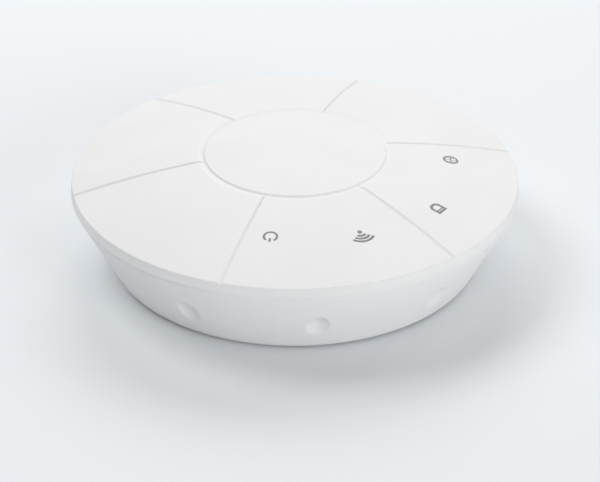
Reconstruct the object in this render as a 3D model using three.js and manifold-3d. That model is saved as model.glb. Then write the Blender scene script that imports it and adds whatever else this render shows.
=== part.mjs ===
// Round ceiling access point, standing base down on a table.
// Millimetres, +Z up. The origin is the centre of the base, level with the bottom of the rubber feet.
import * as THREE from 'three';
import { mergeVertices } from 'three/addons/utils/BufferGeometryUtils.js';
import Module from 'manifold-3d';

const wasm = await Module();
wasm.setup();

// ---------- driving dimensions ----------
const gap = 0.3; // between pieces that meet
const shellSegments = 48; // facets round the casing
const smallSegments = 16; // facets round bosses, holes and pipes
const tinySegments = 12; // facets round screws

// Cover: a shallow dome with a short skirt
const rimRadius = 90; // at the skirt's lower edge, the widest part
const rimHeight = 36.2; // where dome and skirt would meet in a sharp edge
const domeRise = 11.8;
const coverWall = 2.4;
const rimFillet = 0.8;
const skirtDrop = 4.2;
const skirtFlare = 0.5; // the skirt widens downwards by this
const skirtLip = 0.6; // chamfer under the skirt
const skirtWall = 2.2;

// Grooves in the cover
const grooveCount = 6;
const grooveStart = 11.8; // degrees from +X
const grooveWidth = 2.2; // at the rim
const grooveInnerWidth = 1.4; // where it leaves the ring
const grooveDepth = 0.6;
const ringRadius = 37.5;

// Housing: the tapered side wall
const baseLift = 0.8; // the casing's underside over the table
const baseEdge = 4.5; // flat ring between the base plate and the fillet
const filletReach = 2.75;
const filletHeight = 2.6;
const skirtStep = 0.3; // how far the housing's top stands in from the skirt
const housingWall = 2.4;
const seam = 0.4; // open line between cover and housing
const tongueHeight = 2.2;
const tongueWall = 2;
const flangeLap = 2.5; // how far the flange lies over the base plate
const flangeThickness = 2;

// Finger dimples round the housing
const dimpleCount = 10;
const dimpleStart = 24;
const dimpleHeight = 14.5;
const dimpleRadius = 4.8; // half its width
const dimpleStretch = 1.35; // it is taller than wide
const dimpleDepth = 1.4;

// Base plate with the bracket well and the cable bay
const plateMargin = 3; // outside the feet
const plateThickness = 2.2;
const wellPlay = 1.2; // above the bracket's tabs
const wellWall = 2.2;
const bayHalfWidth = 20;
const bayFront = -30;
const bayBack = 24;
const bayRoof = 24.5;
const bayWall = 2;
const bayRoofThickness = 1.5;
const ventCount = 8; // in each of the four groups
const ventPitch = 6; // degrees
const ventLength = 5.3;
const ventMargin = 3.2; // from the edge of the plate
const ventWidth = 2;

// Feet and case screws, on one circle
const footCount = 4;
const footStart = 45;
const footMargin = 2.3; // from the well's wall
const footRadius = 7;
const footSink = 1;
const caseBossRadius = 4.2;
const caseBossTop = 20;
const caseShelf = 3;
const caseScrewRadius = 1.45;
const caseScrewLength = 14;
const caseHeadRadius = 2.9;
const caseHeadHeight = 2.2;
const coverBossRadius = 3.5;

// Board and its screws
const boardMargin = 5; // outside the circle of lights
const boardClearance = 1; // over the bay's roof
const boardThickness = 1.6;
const postStart = 10;
const postMargin = 1.8; // from the well's wall
const postRadius = 3.5;
const boardScrewRadius = 1.3;
const boardScrewLength = 8.6;
const boardHeadRadius = 2.7;
const boardHeadHeight = 1.8;

// Status lights, under the printed icons
const lightAngles = [261.5, 294.2, 326.9, 359.6];
const lightCircle = 64;
const ledSize = 3;
const ledHeight = 1.2;
const pipeRadius = 2.4;
const pipeWall = 0.8;

// Bracket: a bayonet plate
const bracketLift = 0.4; // over the table
const bracketRadius = 43;
const bracketThickness = 2;
const bracketWindow = 17;
const bayonetCount = 3;
const bayonetStart = 90;
const tabSpan = 28;
const tabHeight = 2;
const tabReach = 3;
const lugSpan = 34;
const lugThickness = 1.6;
const stopSpan = 2.5;
const stopPlay = 0.6; // degrees between a tab and its stop
const bayonetClearance = 0.5;
const keyholeCount = 4;
const keyholeStart = 45;
const keyholeCircle = 30;
const keyholeHeadRadius = 4.2;
const keyholeSlotRadius = 2.2;
const keyholeTravel = 8;

// Connectors on the back wall of the cable bay
const lanCentre = -9;
const lanWidth = 16.2;
const lanHeight = 13.4;
const lanDepth = 21.3;
const lanSheet = 0.4;
const plugWidth = 11.8;
const plugHeight = 6.9;
const plugDepth = 13;
const latchWidth = 6.4;
const latchHeight = 2;
const powerCentre = 12.5;
const powerWidth = 9;
const powerHeight = 11;
const powerDepth = 14;
const powerBore = 3.1;
const powerBoreDepth = 9.5;
const powerPinRadius = 1;
const resetCentre = 3.6;
const resetDrop = 4.7; // below the board
const resetRadius = 0.9;
const resetCollar = 1.6;
const resetHole = 1.3;
const switchSize = 6;
const switchDepth = 4;

// Heat sink on the processor
const sinkSize = 36;
const sinkCentreY = -8;
const sinkBase = 2;
const finCount = 9;
const finThickness = 1.2;
const processorSize = 17;
const processorHeight = 1.4;
const padHeight = 0.5;
const sinkHeadroom = 6; // under the cover

// Stamped antennas standing on the board
const antennaAngles = [25, 70, 115, 160];
const antennaInset = 1; // inside the circle of lights
const antennaLength = 18;
const antennaHeadroom = 3.2; // under the cover
const antennaFlange = 5;
const antennaSheet = 0.5;
const antennaLeg = 2.5;

// ---------- derived places ----------
const domeEdge = rimRadius - skirtFlare;
const domeRadius = (domeEdge ** 2 + domeRise ** 2) / (2 * domeRise);
const skirtBottom = rimHeight - skirtDrop;
const shoulder = skirtBottom - seam;
const wellRadius = bracketRadius + tabReach + bayonetClearance;
const wellRoof = baseLift + lugThickness + bayonetClearance + tabHeight + wellPlay;
const footCircle = wellRadius + wellWall + footRadius + footMargin;
const postCircle = wellRadius + wellWall + postRadius + postMargin;
const plateRadius = footCircle + footRadius + plateMargin;
const plateTop = baseLift + plateThickness;
const ventOuter = plateRadius - ventMargin;
const footEdgeRadius = plateRadius + baseEdge;
const filletTop = baseLift + filletHeight;
const filletRadius = footEdgeRadius + filletReach;
const housingTopRadius = rimRadius - skirtStep;
const housingSlope = (housingTopRadius - filletRadius) / (shoulder - filletTop);
const boardRadius = lightCircle + boardMargin;
const boardHeight = bayRoof + bayRoofThickness + boardClearance;
const boardTop = boardHeight + boardThickness;
const antennaCircle = lightCircle - antennaInset;
const resetHeight = boardHeight - resetDrop;
const bayFace = bayBack + gap; // where the connectors' faces stand

// ---------- finishes ----------
function finish(color, roughness, metalness = 0) {
  return new THREE.MeshStandardMaterial({ color, roughness, metalness });
}
const whiteShell = finish(0xf2f2f0, 0.42);
const greyPlastic = finish(0xd9dadb, 0.55);
const darkRubber = finish(0x8d9093, 0.85);
const zincSteel = finish(0xb9bcc0, 0.35, 1);
const boardGreen = finish(0x1d5c3a, 0.5);
const clearPipe = finish(0xe8f0f4, 0.15);
const ledWhite = finish(0xf4efc8, 0.3);
const blackPlastic = finish(0x1b1c1e, 0.5);
const silverSheet = finish(0xc9cbcd, 0.3, 1);
const aluminium = finish(0xb4b6b8, 0.4, 1);
const padBlue = finish(0x8fb4cc, 0.8);
const brass = finish(0xc9a75a, 0.3, 1);

// ---------- solids ----------
const radians = THREE.MathUtils.degToRad;

function toSolid(geometry) {
  geometry.deleteAttribute('normal');
  geometry.deleteAttribute('uv');
  const merged = mergeVertices(geometry, 1e-4);
  const corners = merged.index.array;
  const triVerts = [];
  for (let i = 0; i < corners.length; i += 3) {
    const [a, b, c] = [corners[i], corners[i + 1], corners[i + 2]];
    if (a !== b && b !== c && c !== a) triVerts.push(a, b, c);
  }
  return new wasm.Manifold(
    new wasm.Mesh({
      numProp: 3,
      vertProperties: merged.attributes.position.array,
      triVerts: new Uint32Array(triVerts),
    }),
  );
}

function toGeometry(solid) {
  const mesh = solid.getMesh();
  const geometry = new THREE.BufferGeometry();
  geometry.setAttribute('position', new THREE.BufferAttribute(mesh.vertProperties, 3));
  geometry.setIndex(new THREE.BufferAttribute(mesh.triVerts, 1));
  geometry.computeVertexNormals();
  return geometry;
}

// A profile of [radius, height] points, anticlockwise, turned about +Z.
function turned(profile, segments = smallSegments) {
  const points = profile.map(([r, z]) => new THREE.Vector2(r, z));
  return toSolid(new THREE.LatheGeometry(points, segments).rotateX(Math.PI / 2));
}

function rod(radius, bottom, top, segments = smallSegments) {
  return turned([[0, bottom], [radius, bottom], [radius, top], [0, top]], segments);
}

function block([x0, x1], [y0, y1], [z0, z1]) {
  const geometry = new THREE.BoxGeometry(x1 - x0, y1 - y0, z1 - z0);
  return toSolid(geometry.translate((x0 + x1) / 2, (y0 + y1) / 2, (z0 + z1) / 2));
}

// A piece of a flat ring, between two radii and two angles in degrees.
function sector([inner, outer], [from, to], [bottom, top]) {
  const shape = new THREE.Shape();
  shape.absarc(0, 0, outer, radians(from), radians(to), false);
  shape.absarc(0, 0, inner, radians(to), radians(from), true);
  const depth = top - bottom;
  const steps = Math.max(2, Math.ceil((to - from) / 5));
  const geometry = new THREE.ExtrudeGeometry(shape, { depth, bevelEnabled: false, curveSegments: steps });
  return toSolid(geometry.translate(0, 0, bottom));
}

// A rod that runs along +Y.
function rodAlongY(radius, [y0, y1], x, z) {
  return rod(radius, y0, y1).rotate([-90, 0, 0]).translate([x, 0, z]);
}

// The angles of count places, evenly spaced from start.
function evenly(count, start) {
  return Array.from({ length: count }, (_, i) => start + (360 / count) * i);
}

// [x, y] on a circle, at an angle in degrees.
function onCircle(radius, angle) {
  return [radius * Math.cos(radians(angle)), radius * Math.sin(radians(angle))];
}

// count values evenly spaced between two others, which are left out.
function between(from, to, count) {
  return Array.from({ length: count }, (_, i) => from + ((to - from) * (i + 1)) / (count + 1));
}

function moved(solid, [x, y], z = 0) {
  return solid.translate([x, y, z]);
}

function joined(solids) {
  return solids.reduce((all, solid) => all.add(solid));
}

function cut(body, cutters) {
  return cutters.reduce((left, cutter) => left.subtract(cutter), body);
}

// ---------- cover ----------
// Height of the dome at a radius; inset moves the surface inwards, square to it.
function domeHeight(radius, inset = 0) {
  const centre = rimHeight + domeRise - domeRadius;
  return centre + Math.sqrt((domeRadius - inset) ** 2 - radius ** 2);
}

function domePoints(radii, inset = 0) {
  return radii.map((r) => [r, domeHeight(r, inset)]);
}

// A wedge that cuts one radial groove, along +X, widening towards the rim.
function grooveSpoke(bottom, top) {
  const shape = new THREE.Shape();
  shape.moveTo(ringRadius, -grooveInnerWidth / 2);
  shape.lineTo(rimRadius + 1, -grooveWidth / 2);
  shape.lineTo(rimRadius + 1, grooveWidth / 2);
  shape.lineTo(ringRadius, grooveInnerWidth / 2);
  const geometry = new THREE.ExtrudeGeometry(shape, { depth: top - bottom, bevelEnabled: false });
  return toSolid(geometry.translate(0, 0, bottom));
}

function topCover() {
  const edge = domeEdge - rimFillet;
  const outerRadii = [edge, ...between(edge, ringRadius, 2), ringRadius, ...between(ringRadius, 0, 1), 0];
  const skirtInner = domeEdge - skirtWall;
  const pipeEdge = lightCircle + pipeRadius;
  const innerRadii = [0, ...between(0, pipeEdge, 2), pipeEdge, skirtInner];
  const shell = turned(
    [
      ...domePoints(innerRadii, coverWall),
      [skirtInner, skirtBottom],
      [rimRadius - skirtLip / 2, skirtBottom],
      [rimRadius, skirtBottom + skirtLip],
      [domeEdge, rimHeight - rimFillet],
      [domeEdge - rimFillet * 0.3, rimHeight - rimFillet * 0.3],
      ...domePoints(outerRadii),
    ],
    shellSegments,
  );
  const floor = turned(
    [[0, 0], [rimRadius + 2, 0], ...domePoints([rimRadius + 2, ...outerRadii], grooveDepth)],
    shellSegments,
  );
  const half = grooveInnerWidth / 2;
  const above = rimHeight + domeRise + 1;
  const spoke = grooveSpoke(shoulder, above);
  const ring = turned(
    [
      [ringRadius - half, shoulder],
      [ringRadius + half, shoulder],
      [ringRadius + half, above],
      [ringRadius - half, above],
      [ringRadius - half, shoulder],
    ],
    shellSegments,
  );
  const spokes = evenly(grooveCount, grooveStart).map((a) => spoke.rotate([0, 0, a]));
  const grooves = joined([ring, ...spokes]).subtract(floor);
  const bossBottom = caseBossTop + gap;
  const bosses = evenly(footCount, footStart).map((a) => {
    const top = domeHeight(footCircle, coverWall / 2);
    return moved(rod(coverBossRadius, bossBottom, top), onCircle(footCircle, a));
  });
  const pilots = evenly(footCount, footStart).map((a) => {
    const top = caseBossTop - caseShelf + caseScrewLength + 1;
    return moved(rod(caseScrewRadius + gap, bossBottom - 1, top), onCircle(footCircle, a));
  });
  return cut(joined([shell, ...bosses]), [grooves, ...pilots]);
}

// ---------- housing ----------
function housingRadius(height) {
  return housingTopRadius - (shoulder - height) * housingSlope;
}

// A lens that cuts one dimple, lying on the wall at angle 0.
function dimpleCutter() {
  const sphere = (dimpleRadius ** 2 + dimpleDepth ** 2) / (2 * dimpleDepth);
  const rings = [0, 0.5, 1, 1.15].map((share) => {
    const r = share * dimpleRadius;
    return [r, sphere - dimpleDepth - Math.sqrt(sphere ** 2 - r ** 2)];
  });
  const outside = 3;
  const lens = turned([...rings, [rings.at(-1)[0], outside], [0, outside]]);
  const tilt = THREE.MathUtils.radToDeg(Math.atan(housingSlope));
  const tall = lens.scale([dimpleStretch, 1, 1]);
  return tall.rotate([0, 90 + tilt, 0]).translate([housingRadius(dimpleHeight), 0, dimpleHeight]);
}

function sideHousing() {
  const bottom = baseLift;
  const innerStep = housingWall * Math.hypot(1, housingSlope); // wall measured level
  const tongueOuter = domeEdge - skirtWall - seam;
  const tongueTop = shoulder + tongueHeight;
  const flangeBottom = plateTop + gap;
  const flangeTop = flangeBottom + flangeThickness;
  const flangeInner = plateRadius - flangeLap;
  const shell = turned(
    [
      [flangeInner, flangeBottom],
      [plateRadius + gap, flangeBottom],
      [plateRadius + gap, bottom],
      [footEdgeRadius, bottom],
      [footEdgeRadius + filletReach * 0.6, bottom + filletHeight * 0.3],
      [filletRadius, filletTop],
      [housingTopRadius, shoulder],
      [tongueOuter, shoulder],
      [tongueOuter, tongueTop],
      [tongueOuter - tongueWall, tongueTop],
      [tongueOuter - tongueWall, shoulder - 2],
      [housingRadius(shoulder - 4) - innerStep, shoulder - 4],
      [housingRadius(flangeTop) - innerStep, flangeTop],
      [flangeInner, flangeTop],
      [flangeInner, flangeBottom],
    ],
    shellSegments,
  );
  const dimple = dimpleCutter();
  return cut(shell, evenly(dimpleCount, dimpleStart).map((a) => dimple.rotate([0, 0, a])));
}

// ---------- base plate ----------
function basePlate() {
  const roofTop = wellRoof + wellWall;
  const dish = turned(
    [
      [0, wellRoof],
      [wellRadius, wellRoof],
      [wellRadius, baseLift],
      [plateRadius, baseLift],
      [plateRadius, plateTop],
      [wellRadius + wellWall, plateTop],
      [wellRadius + wellWall, roofTop],
      [0, roofTop],
    ],
    shellSegments,
  );
  const bayOuter = block(
    [-bayHalfWidth - bayWall, bayHalfWidth + bayWall],
    [bayFront - bayWall, bayBack + bayWall],
    [wellRoof, bayRoof + bayRoofThickness],
  );
  const bayInner = block([-bayHalfWidth, bayHalfWidth], [bayFront, bayBack], [0, bayRoof]);
  const bosses = evenly(footCount, footStart).map((a) =>
    moved(rod(caseBossRadius, baseLift, caseBossTop), onCircle(footCircle, a)),
  );
  const posts = evenly(footCount, postStart).map((a) =>
    moved(rod(postRadius, baseLift, boardHeight), onCircle(postCircle, a)),
  );
  const lugInner = bracketRadius + bayonetClearance;
  const lugTop = baseLift + lugThickness;
  const wallBite = wellRadius + wellWall / 2;
  const lugs = evenly(bayonetCount, bayonetStart).map((a) =>
    sector([lugInner, wallBite], [a - lugSpan / 2, a + lugSpan / 2], [baseLift, lugTop]),
  );
  const stops = evenly(bayonetCount, bayonetStart).map((a) => {
    const from = a + lugSpan / 2 - stopSpan;
    return sector([lugInner, wallBite], [from, from + stopSpan], [baseLift, wellRoof]);
  });

  const lanHole = connectorOpening(lanCentre, lanWidth, lanHeight);
  const powerHole = connectorOpening(powerCentre, powerWidth, powerHeight);
  const resetBore = rodAlongY(resetHole, [bayBack - 1, bayBack + bayWall + 1], resetCentre, resetHeight);
  const counterbores = evenly(footCount, footStart).flatMap((a) => [
    moved(rod(footRadius + gap, 0, baseLift + footSink), onCircle(footCircle, a)),
    moved(rod(caseHeadRadius + gap, 0, caseBossTop - caseShelf), onCircle(footCircle, a)),
    moved(rod(caseScrewRadius + gap, 0, caseBossTop + 1), onCircle(footCircle, a)),
  ]);
  const pilots = evenly(footCount, postStart).map((a) => {
    const bottom = boardTop - boardScrewLength - 1;
    return moved(rod(boardScrewRadius + gap, bottom, boardHeight + 1), onCircle(postCircle, a));
  });
  const ventSpan = [ventOuter - ventLength, ventOuter];
  const slot = block(ventSpan, [-ventWidth / 2, ventWidth / 2], [0, plateTop + 1]);
  const slots = evenly(4, 0).flatMap((middle) =>
    Array.from({ length: ventCount }, (_, i) => {
      const turn = middle + (i - (ventCount - 1) / 2) * ventPitch;
      return slot.rotate([0, 0, turn]);
    }),
  );
  return cut(
    joined([dish, bayOuter, ...bosses, ...posts, ...lugs, ...stops]),
    [bayInner, lanHole, powerHole, resetBore, ...counterbores, ...pilots, ...slots],
  );
}

// The cut in the bay's back wall for a connector that hangs from the board.
function connectorOpening(centre, width, height) {
  return block(
    [centre - width / 2 - gap, centre + width / 2 + gap],
    [bayBack, bayBack + bayWall + 1],
    [boardHeight - height - gap, boardHeight],
  );
}

// ---------- bracket ----------
function mountingBracket() {
  const top = bracketLift + bracketThickness;
  const tabBottom = baseLift + lugThickness + bayonetClearance;
  const tabTop = tabBottom + tabHeight;
  const disc = turned(
    [
      [bracketWindow, bracketLift],
      [bracketRadius, bracketLift],
      [bracketRadius, top],
      [bracketWindow, top],
      [bracketWindow, bracketLift],
    ],
    shellSegments,
  );
  const tabs = evenly(bayonetCount, bayonetStart).flatMap((a) => {
    const tabEnd = a + lugSpan / 2 - stopSpan - stopPlay;
    const span = [tabEnd - tabSpan, tabEnd];
    return [
      sector([bracketRadius - 4, bracketRadius - 0.2], span, [top - 0.5, tabTop]),
      sector([bracketRadius - 1, bracketRadius + tabReach], span, [tabBottom, tabTop]),
    ];
  });
  const above = tabTop + 1;
  const keyholes = evenly(keyholeCount, keyholeStart).flatMap((a) => {
    const [x, y] = onCircle(keyholeCircle, a);
    const [slideX, slideY] = onCircle(keyholeTravel, a + 90);
    const r = keyholeSlotRadius;
    return [
      moved(rod(keyholeHeadRadius, 0, above), [x, y]),
      moved(rod(r, 0, above), [x + slideX, y + slideY]),
      moved(block([0, keyholeTravel], [-r, r], [0, above]).rotate([0, 0, a + 90]), [x, y]),
    ];
  });
  return cut(joined([disc, ...tabs]), keyholes);
}

// ---------- feet and screws ----------
function rubberFoot() {
  const top = baseLift + footSink;
  const chamfer = 0.5;
  return turned([[0, 0], [footRadius - chamfer, 0], [footRadius, chamfer], [footRadius, top], [0, top]]);
}

// A pan-head screw, head down, with a cross recess. Its shoulder is at height 0.
function screw(headRadius, headHeight, shaftRadius, shaftLength) {
  const body = turned(
    [
      [0, -headHeight],
      [headRadius * 0.8, -headHeight],
      [headRadius, -headHeight * 0.6],
      [headRadius, 0],
      [shaftRadius, 0],
      [shaftRadius, shaftLength - shaftRadius],
      [shaftRadius * 0.3, shaftLength],
      [0, shaftLength],
    ],
    tinySegments,
  );
  const reach = headRadius * 0.6;
  const half = headRadius * 0.12;
  const depth = [-headHeight - 1, -headHeight * 0.5];
  const recess = block([-reach, reach], [-half, half], depth);
  return cut(body, [recess, recess.rotate([0, 0, 90])]);
}

// ---------- board ----------
function mainBoard() {
  const blank = rod(boardRadius, boardHeight, boardTop, shellSegments);
  const bossHoles = evenly(footCount, footStart).map((a) =>
    moved(rod(coverBossRadius + 2 * gap, 0, boardTop + 1), onCircle(footCircle, a)),
  );
  const screwHoles = evenly(footCount, postStart).map((a) =>
    moved(rod(boardScrewRadius + gap, 0, boardTop + 1), onCircle(postCircle, a)),
  );
  return cut(blank, [...bossHoles, ...screwHoles]);
}

function chip([x, y], [width, length], height, bottom = boardTop) {
  return block([x - width / 2, x + width / 2], [y - length / 2, y + length / 2], [bottom, bottom + height]);
}

// A folded tin lid over the radio parts, open underneath.
function shieldCan([x, y], [width, length], height) {
  const sheet = 0.5;
  const inside = [width - 2 * sheet, length - 2 * sheet];
  return chip([x, y], [width, length], height).subtract(chip([x, y], inside, height - sheet));
}

function capacitor([x, y], radius, height) {
  const neck = 0.92;
  const body = turned(
    [
      [0, 0],
      [radius, 0],
      [radius, height * 0.1],
      [radius * neck, height * 0.15],
      [radius, height * 0.2],
      [radius, height * 0.96],
      [radius * neck, height],
      [0, height],
    ],
    smallSegments,
  );
  return moved(body, [x, y], boardTop);
}

// A wound part: a square ferrite frame with a round drum between its plates.
function woundPart([x, y], size, height) {
  const plate = height * 0.22;
  const lower = chip([x, y], [size, size], plate);
  const upper = chip([x, y], [size, size], plate, boardTop + height - plate);
  const drum = moved(rod(size * 0.42, boardTop, boardTop + height), [x, y]);
  return joined([lower, upper, drum]);
}

function heatSink() {
  const bottom = boardTop + processorHeight + padHeight;
  const corner = Math.hypot(sinkSize / 2, Math.abs(sinkCentreY) + sinkSize / 2);
  const height = domeHeight(corner, coverWall) - sinkHeadroom - bottom;
  const base = chip([0, sinkCentreY], [sinkSize, sinkSize], sinkBase, bottom);
  const pitch = (sinkSize - finThickness) / (finCount - 1);
  const fins = Array.from({ length: finCount }, (_, i) => {
    const x = -sinkSize / 2 + finThickness / 2 + pitch * i;
    return chip([x, sinkCentreY], [finThickness, sinkSize], height, bottom);
  });
  return joined([base, ...fins]);
}

// A light pipe whose foot is a cup over its LED. It ends just under the dome.
function lightPipe() {
  const cup = pipeRadius + pipeWall;
  const cupTop = boardTop + ledHeight + 2;
  const top = domeHeight(lightCircle + pipeRadius, coverWall) - gap;
  return turned([
    [0, boardTop + ledHeight + gap],
    [pipeRadius, boardTop + ledHeight + gap],
    [pipeRadius, boardTop],
    [cup, boardTop],
    [cup, cupTop],
    [pipeRadius, cupTop],
    [pipeRadius, top],
    [0, top],
  ]);
}

// A bent sheet antenna, standing on two legs, square to the radius at angle 0.
function antenna() {
  const half = antennaLength / 2;
  const top = domeHeight(antennaCircle, coverWall) - antennaHeadroom;
  const legTop = boardTop + (top - boardTop) * 0.35;
  const wall = block([-antennaSheet, 0], [-half, half], [boardTop, top]);
  const flange = block([-antennaFlange, 0], [-half, half], [top - antennaSheet, top]);
  const arch = block([-1, 1], [-half + antennaLeg, half - 2 * antennaLeg], [boardTop - 1, legTop]);
  const beyond = block([-1, 1], [half - antennaLeg, half + 1], [boardTop - 1, legTop]);
  const slot = block([-antennaFlange - 1, 1], [half - 6, half - 5], [legTop + 1.5, top + 1]);
  return cut(wall.add(flange), [arch, beyond, slot]);
}

// ---------- connectors ----------
function lanShell() {
  const x = [lanCentre - lanWidth / 2, lanCentre + lanWidth / 2];
  const z = [boardHeight - lanHeight, boardHeight];
  const outer = block(x, [bayFace, bayFace + lanDepth], z);
  const inner = block(
    [x[0] + lanSheet, x[1] - lanSheet],
    [bayFace - 1, bayFace + lanDepth - lanSheet],
    [z[0] + lanSheet, z[1] - lanSheet],
  );
  return outer.subtract(inner);
}

// The insulator inside the shell, with the plug's cavity and the notch for its latch.
function lanInsert() {
  const inset = lanSheet + gap;
  const bottom = boardHeight - lanHeight + inset;
  const front = bayFace + gap;
  const body = block(
    [lanCentre - lanWidth / 2 + inset, lanCentre + lanWidth / 2 - inset],
    [front, bayFace + lanDepth - inset],
    [bottom, boardHeight - inset],
  );
  const latchFloor = bottom + 1;
  const plugFloor = latchFloor + latchHeight;
  const cavity = block(
    [lanCentre - plugWidth / 2, lanCentre + plugWidth / 2],
    [front - 1, front + plugDepth],
    [plugFloor, plugFloor + plugHeight],
  );
  const latch = block(
    [lanCentre - latchWidth / 2, lanCentre + latchWidth / 2],
    [front - 1, front + plugDepth],
    [latchFloor, plugFloor + 1],
  );
  return cut(body, [cavity, latch]);
}

function powerSocket() {
  const height = boardHeight - powerHeight / 2 - 1;
  const body = block(
    [powerCentre - powerWidth / 2, powerCentre + powerWidth / 2],
    [bayFace, bayFace + powerDepth],
    [boardHeight - powerHeight, boardHeight],
  );
  return body.subtract(rodAlongY(powerBore, [bayFace - 1, bayFace + powerBoreDepth], powerCentre, height));
}

function powerPin() {
  const height = boardHeight - powerHeight / 2 - 1;
  return rodAlongY(powerPinRadius, [bayFace + 1, bayFace + powerBoreDepth - gap], powerCentre, height);
}

const switchFace = bayBack + bayWall + 3.4;

function resetSwitch() {
  const body = block(
    [resetCentre - switchSize / 2, resetCentre + switchSize / 2],
    [switchFace, switchFace + switchDepth],
    [resetHeight - switchSize / 2, boardHeight],
  );
  const boreSpan = [switchFace - 1, switchFace + switchDepth - 1];
  const bore = rodAlongY(resetRadius + gap, boreSpan, resetCentre, resetHeight);
  return body.subtract(bore);
}

function resetButton() {
  const collarFront = bayBack + bayWall + 0.8;
  return joined([
    rodAlongY(resetRadius, [bayBack + 0.9, switchFace + switchDepth - 2], resetCentre, resetHeight),
    rodAlongY(resetCollar, [collarFront, collarFront + 1], resetCentre, resetHeight),
  ]);
}

// ---------- assembly ----------
const accessPoint = new THREE.Group();

function place(name, solid, material) {
  const mesh = new THREE.Mesh(toGeometry(solid), material);
  mesh.name = name;
  accessPoint.add(mesh);
  return mesh;
}

// One mesh of a shared solid at each angle of a circle.
function placeRound(name, solid, material, angles, radius) {
  angles.forEach((angle, i) => {
    const [x, y] = onCircle(radius, angle);
    place(`${name}_${i + 1}`, solid.rotate([0, 0, angle]).translate([x, y, 0]), material);
  });
}

place('top_cover', topCover(), whiteShell);
place('side_housing', sideHousing(), whiteShell);
place('base_plate', basePlate(), greyPlastic);
place('mounting_bracket', mountingBracket(), greyPlastic);

const footAngles = evenly(footCount, footStart);
placeRound('rubber_foot', rubberFoot(), darkRubber, footAngles, footCircle);
const caseScrew = screw(caseHeadRadius, caseHeadHeight, caseScrewRadius, caseScrewLength)
  .translate([0, 0, caseBossTop - caseShelf]);
placeRound('case_screw', caseScrew, zincSteel, footAngles, footCircle);
const boardScrew = screw(boardHeadRadius, boardHeadHeight, boardScrewRadius, boardScrewLength)
  .rotate([180, 0, 0])
  .translate([0, 0, boardTop]);
placeRound('board_screw', boardScrew, zincSteel, evenly(footCount, postStart), postCircle);

place('main_board', mainBoard(), boardGreen);
placeRound('status_led', chip([0, 0], [ledSize, ledSize], ledHeight), ledWhite, lightAngles, lightCircle);
placeRound('light_pipe', lightPipe(), clearPipe, lightAngles, lightCircle);
placeRound('antenna', antenna(), silverSheet, antennaAngles, antennaCircle);

const processorAt = [0, sinkCentreY];
const processorPlan = [processorSize, processorSize];
const padBottom = boardTop + processorHeight;
place('processor', chip(processorAt, processorPlan, processorHeight), blackPlastic);
place('thermal_pad', chip(processorAt, processorPlan, padHeight, padBottom), padBlue);
place('heat_sink', heatSink(), aluminium);
place('memory_chip_1', chip([-9, 21], [10, 13], 1.1), blackPlastic);
place('memory_chip_2', chip([9, 21], [10, 13], 1.1), blackPlastic);
place('radio_shield_left', shieldCan([-36, 6], [26, 20], 3.2), silverSheet);
place('radio_shield_right', shieldCan([34, 6], [24, 24], 3.2), silverSheet);
place('network_transformer', chip([-9, 38], [16, 12], 5.5), blackPlastic);
place('power_transformer', woundPart([11, 41], 14, 7.5), blackPlastic);
place('power_choke_1', woundPart([-28, 27], 7, 4), blackPlastic);
place('power_choke_2', woundPart([28, 27], 7, 4), blackPlastic);
place('capacitor_1', capacitor([27, 36], 4, 7), aluminium);
place('capacitor_2', capacitor([26, 45.5], 4, 7), aluminium);
place('capacitor_3', capacitor([-26, 37], 3.2, 7), aluminium);

place('lan_shell', lanShell(), silverSheet);
place('lan_insert', lanInsert(), blackPlastic);
place('power_socket', powerSocket(), blackPlastic);
place('power_pin', powerPin(), brass);
place('reset_switch', resetSwitch(), blackPlastic);
place('reset_button', resetButton(), greyPlastic);

export default accessPoint;
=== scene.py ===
import math

import bmesh
import bpy
from mathutils import Matrix, Vector


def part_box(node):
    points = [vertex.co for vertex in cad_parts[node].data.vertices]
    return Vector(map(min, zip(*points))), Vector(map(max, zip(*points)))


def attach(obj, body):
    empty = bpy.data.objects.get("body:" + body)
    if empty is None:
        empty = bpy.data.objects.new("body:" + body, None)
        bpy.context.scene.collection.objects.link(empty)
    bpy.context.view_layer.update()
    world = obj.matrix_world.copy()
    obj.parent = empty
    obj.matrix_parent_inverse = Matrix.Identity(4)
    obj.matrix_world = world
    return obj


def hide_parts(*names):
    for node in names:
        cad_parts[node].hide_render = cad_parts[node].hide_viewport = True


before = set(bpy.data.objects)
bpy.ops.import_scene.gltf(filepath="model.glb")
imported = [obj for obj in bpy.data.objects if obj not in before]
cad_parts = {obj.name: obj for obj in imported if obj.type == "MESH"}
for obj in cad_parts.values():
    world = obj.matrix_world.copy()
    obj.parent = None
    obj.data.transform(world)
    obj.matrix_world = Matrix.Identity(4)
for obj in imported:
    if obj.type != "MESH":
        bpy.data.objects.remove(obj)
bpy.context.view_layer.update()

scene = bpy.context.scene
scene.view_settings.view_transform = "Standard"
mm = 0.001


# camera
cameraView = {
    "place": (0.0, -0.7876, 0.4634),
    "lookDown": 30.22,  # degrees below level
    "lookRight": 0.146,
    "lens": 133.6,
}
cameraData = bpy.data.cameras.new("camera")
cameraData.lens = cameraView["lens"]
cameraData.sensor_width = 36.0
camera = bpy.data.objects.new("camera", cameraData)
camera.location = cameraView["place"]
camera.rotation_euler = (
    math.radians(90 - cameraView["lookDown"]), 0, -math.radians(cameraView["lookRight"]))
scene.collection.objects.link(camera)
scene.camera = camera


# node helpers: a socket is linked, anything else becomes the input's own value
def feed(tree, value, socket):
    if isinstance(value, bpy.types.NodeSocket):
        tree.links.new(value, socket)
    elif value is not None:
        socket.default_value = value


def addNode(tree, kind, inputs=None, **settings):
    node = tree.nodes.new(kind)
    for key, value in settings.items():
        setattr(node, key, value)
    for key, value in (inputs or {}).items():
        feed(tree, value, node.inputs[key])
    return node


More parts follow.
